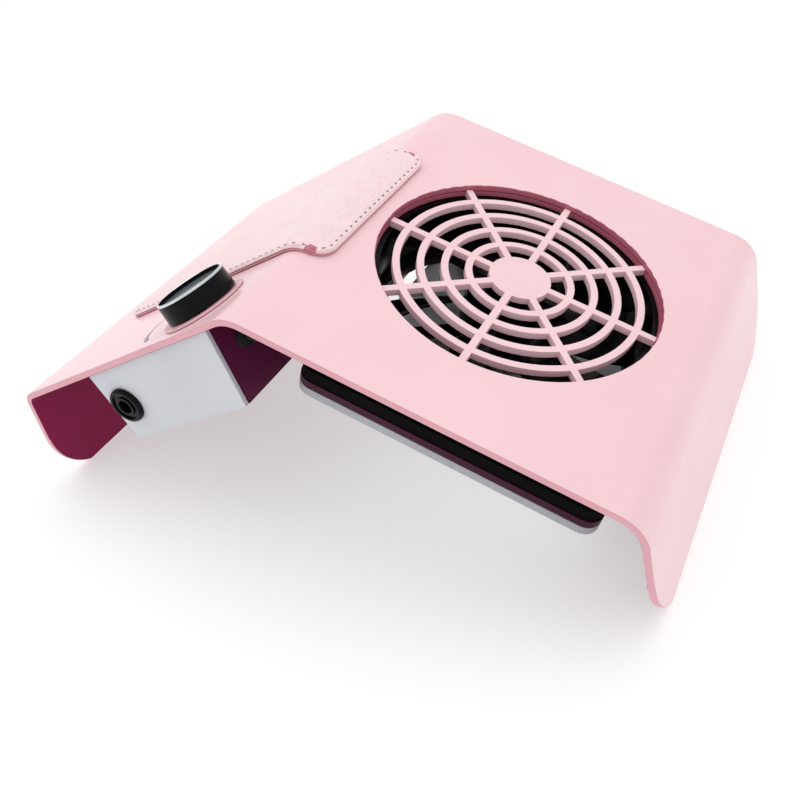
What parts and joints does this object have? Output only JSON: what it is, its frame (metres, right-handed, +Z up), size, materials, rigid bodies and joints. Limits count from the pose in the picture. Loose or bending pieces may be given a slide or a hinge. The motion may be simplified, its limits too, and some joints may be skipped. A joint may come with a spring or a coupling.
{
  "type": "nail dust collector",
  "caption": "Desktop nail dust collector: bent sheet stand with hand rest, speed knob, round grille, fan under it and a pull-off dust bag.",
  "frame": {"origin": "middle of the box round the whole object, at the level of the two feet", "axes": "+X towards the front flap, below the grille; +Y away from the side with the power inlet; +Z up"},
  "size_m": [0.2924, 0.188, 0.1161],
  "materials": {
    "pink_enamel": "semi-gloss baked enamel, pale pink",
    "pink_plastic": "moulded, satin, pale pink",
    "pink_leather": "fine grained pale pink artificial leather",
    "rest_backing": "matt adhesive backed board",
    "rose_plastic": "satin, dusty rose",
    "black_plastic": "glossy black",
    "fan_plastic": "satin black, glass filled",
    "polished_aluminium": "polished",
    "smoked_face": "glossy smoke grey",
    "steel": "zinc plated",
    "brass": "plated brass",
    "white_enamel": "satin cool white enamel",
    "plum_enamel": "satin plum enamel",
    "board_green": "solder mask green",
    "terminal_green": "satin green",
    "capacitor_sleeve": "glossy dark blue sleeve",
    "copper": "enamelled copper wire",
    "magnet": "matt black ferrite",
    "rubber": "matt black",
    "black_foam": "open cell, matt black",
    "bag_cloth": "light grey non-woven cloth",
    "bag_elastic": "light grey elastic hem"
  },
  "bodies": {
    "stand": {"shell": "pink_enamel", "grille": "pink_plastic", "hand_rest_pad": "pink_leather", "hand_rest_backing": "rest_backing", "knob_bezel": "rose_plastic", "potentiometer": "steel", "potentiometer_nut": "brass", "control_box_body": "plum_enamel", "control_box_end_near": "white_enamel", "control_box_end_far": "white_enamel", "power_inlet": "black_plastic", "inlet_pin": "brass", "inlet_nut": "steel", "circuit_board": "board_green", "board_rail_1": "black_plastic", "board_rail_2": "black_plastic", "capacitor": "capacitor_sleeve", "inductor": "copper", "heatsink": "polished_aluminium", "power_transistor": "black_plastic", "terminal_block": "terminal_green", "lead_grommet": "rubber", "fan_lead": "black_plastic", "fan_frame": "fan_plastic", "stator_core": "steel", "stator_winding": "copper", "foam_gasket": "black_foam", "bag_frame": "plum_enamel", "box_rivet_1": "steel", "fan_stud_1": "steel", "fan_nut_1": "steel", "frame_post_1": "steel", "frame_screw_1": "steel", "box_rivet_2": "steel", "fan_stud_2": "steel", "fan_nut_2": "steel", "frame_post_2": "steel", "frame_screw_2": "steel", "box_rivet_3": "steel", "fan_stud_3": "steel", "fan_nut_3": "steel", "frame_post_3": "steel", "frame_screw_3": "steel", "box_rivet_4": "steel", "fan_stud_4": "steel", "fan_nut_4": "steel", "frame_post_4": "steel", "frame_screw_4": "steel", "fan_bearing_1": "steel", "fan_bearing_2": "steel"},
    "knob": {"knob_body": "black_plastic", "knob_rim": "polished_aluminium", "knob_face": "smoked_face", "spindle": "steel"},
    "rotor": {"fan_rotor": "fan_plastic", "rotor_magnet": "magnet", "rotor_shaft": "steel"},
    "bag": {"dust_bag": "bag_cloth", "bag_hem": "bag_elastic"}
  },
  "joints": [
    {"name": "knob_turn", "type": "hinge", "parent": "stand", "child": "knob", "pos_m": [-0.03576, -0.0725, 0.10048], "axis": [0.4095, 0, -0.9123], "range_deg": [0, 280]},
    {"name": "fan_spin", "type": "hinge", "parent": "stand", "child": "rotor", "pos_m": [0.06079, 0, 0.0695], "axis": [0.3804, 0, 0.9248], "continuous": true},
    {"name": "bag_pull", "type": "slide", "parent": "stand", "child": "bag", "axis": [-0.3804, 0, -0.9248], "range_m": [0, 0.008]}
  ]
}
